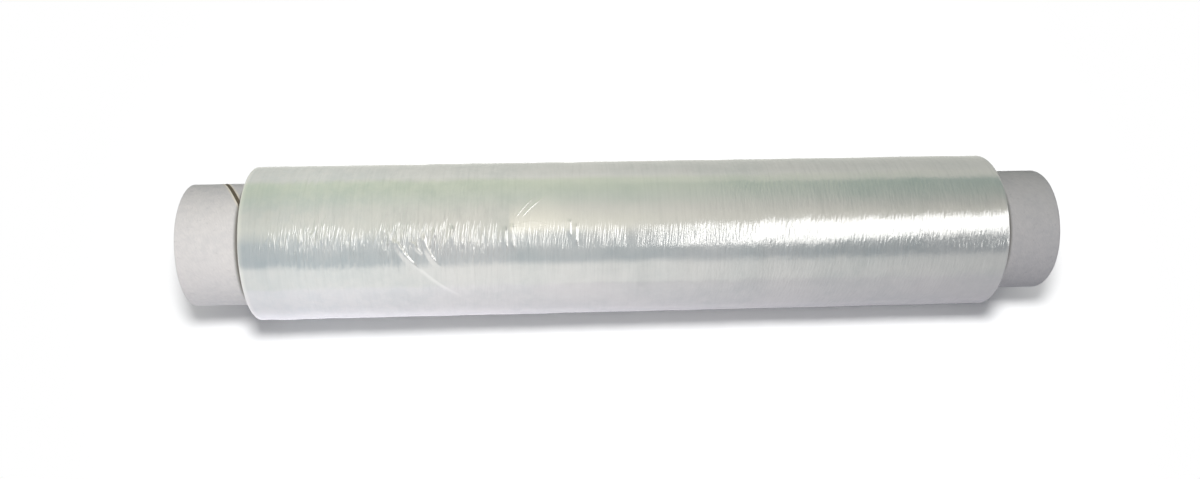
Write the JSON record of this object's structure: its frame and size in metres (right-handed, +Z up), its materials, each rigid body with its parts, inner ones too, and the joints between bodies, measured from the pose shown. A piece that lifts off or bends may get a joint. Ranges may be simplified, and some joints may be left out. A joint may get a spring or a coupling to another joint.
{
  "type": "roll of cling film",
  "caption": "Roll of clear stretch film wound on a longer spiral-wound paper core, whose open bore takes a dispenser's spindle or end plugs.",
  "frame": {"origin": "on the ground, in the middle of the flat spot that the roll rests on, half way along the core", "axes": "+X along the roll's axis, +Z up, -Y towards the viewer"},
  "size_m": [0.35, 0.0627, 0.0627],
  "materials": {
    "core_paper": "matte grey-white paper, spiral wound",
    "film": "clear glossy film, silvery where many turns lie on each other"
  },
  "bodies": {
    "root": {"paper_core": "core_paper", "film_roll": "film"}
  },
  "joints": []
}
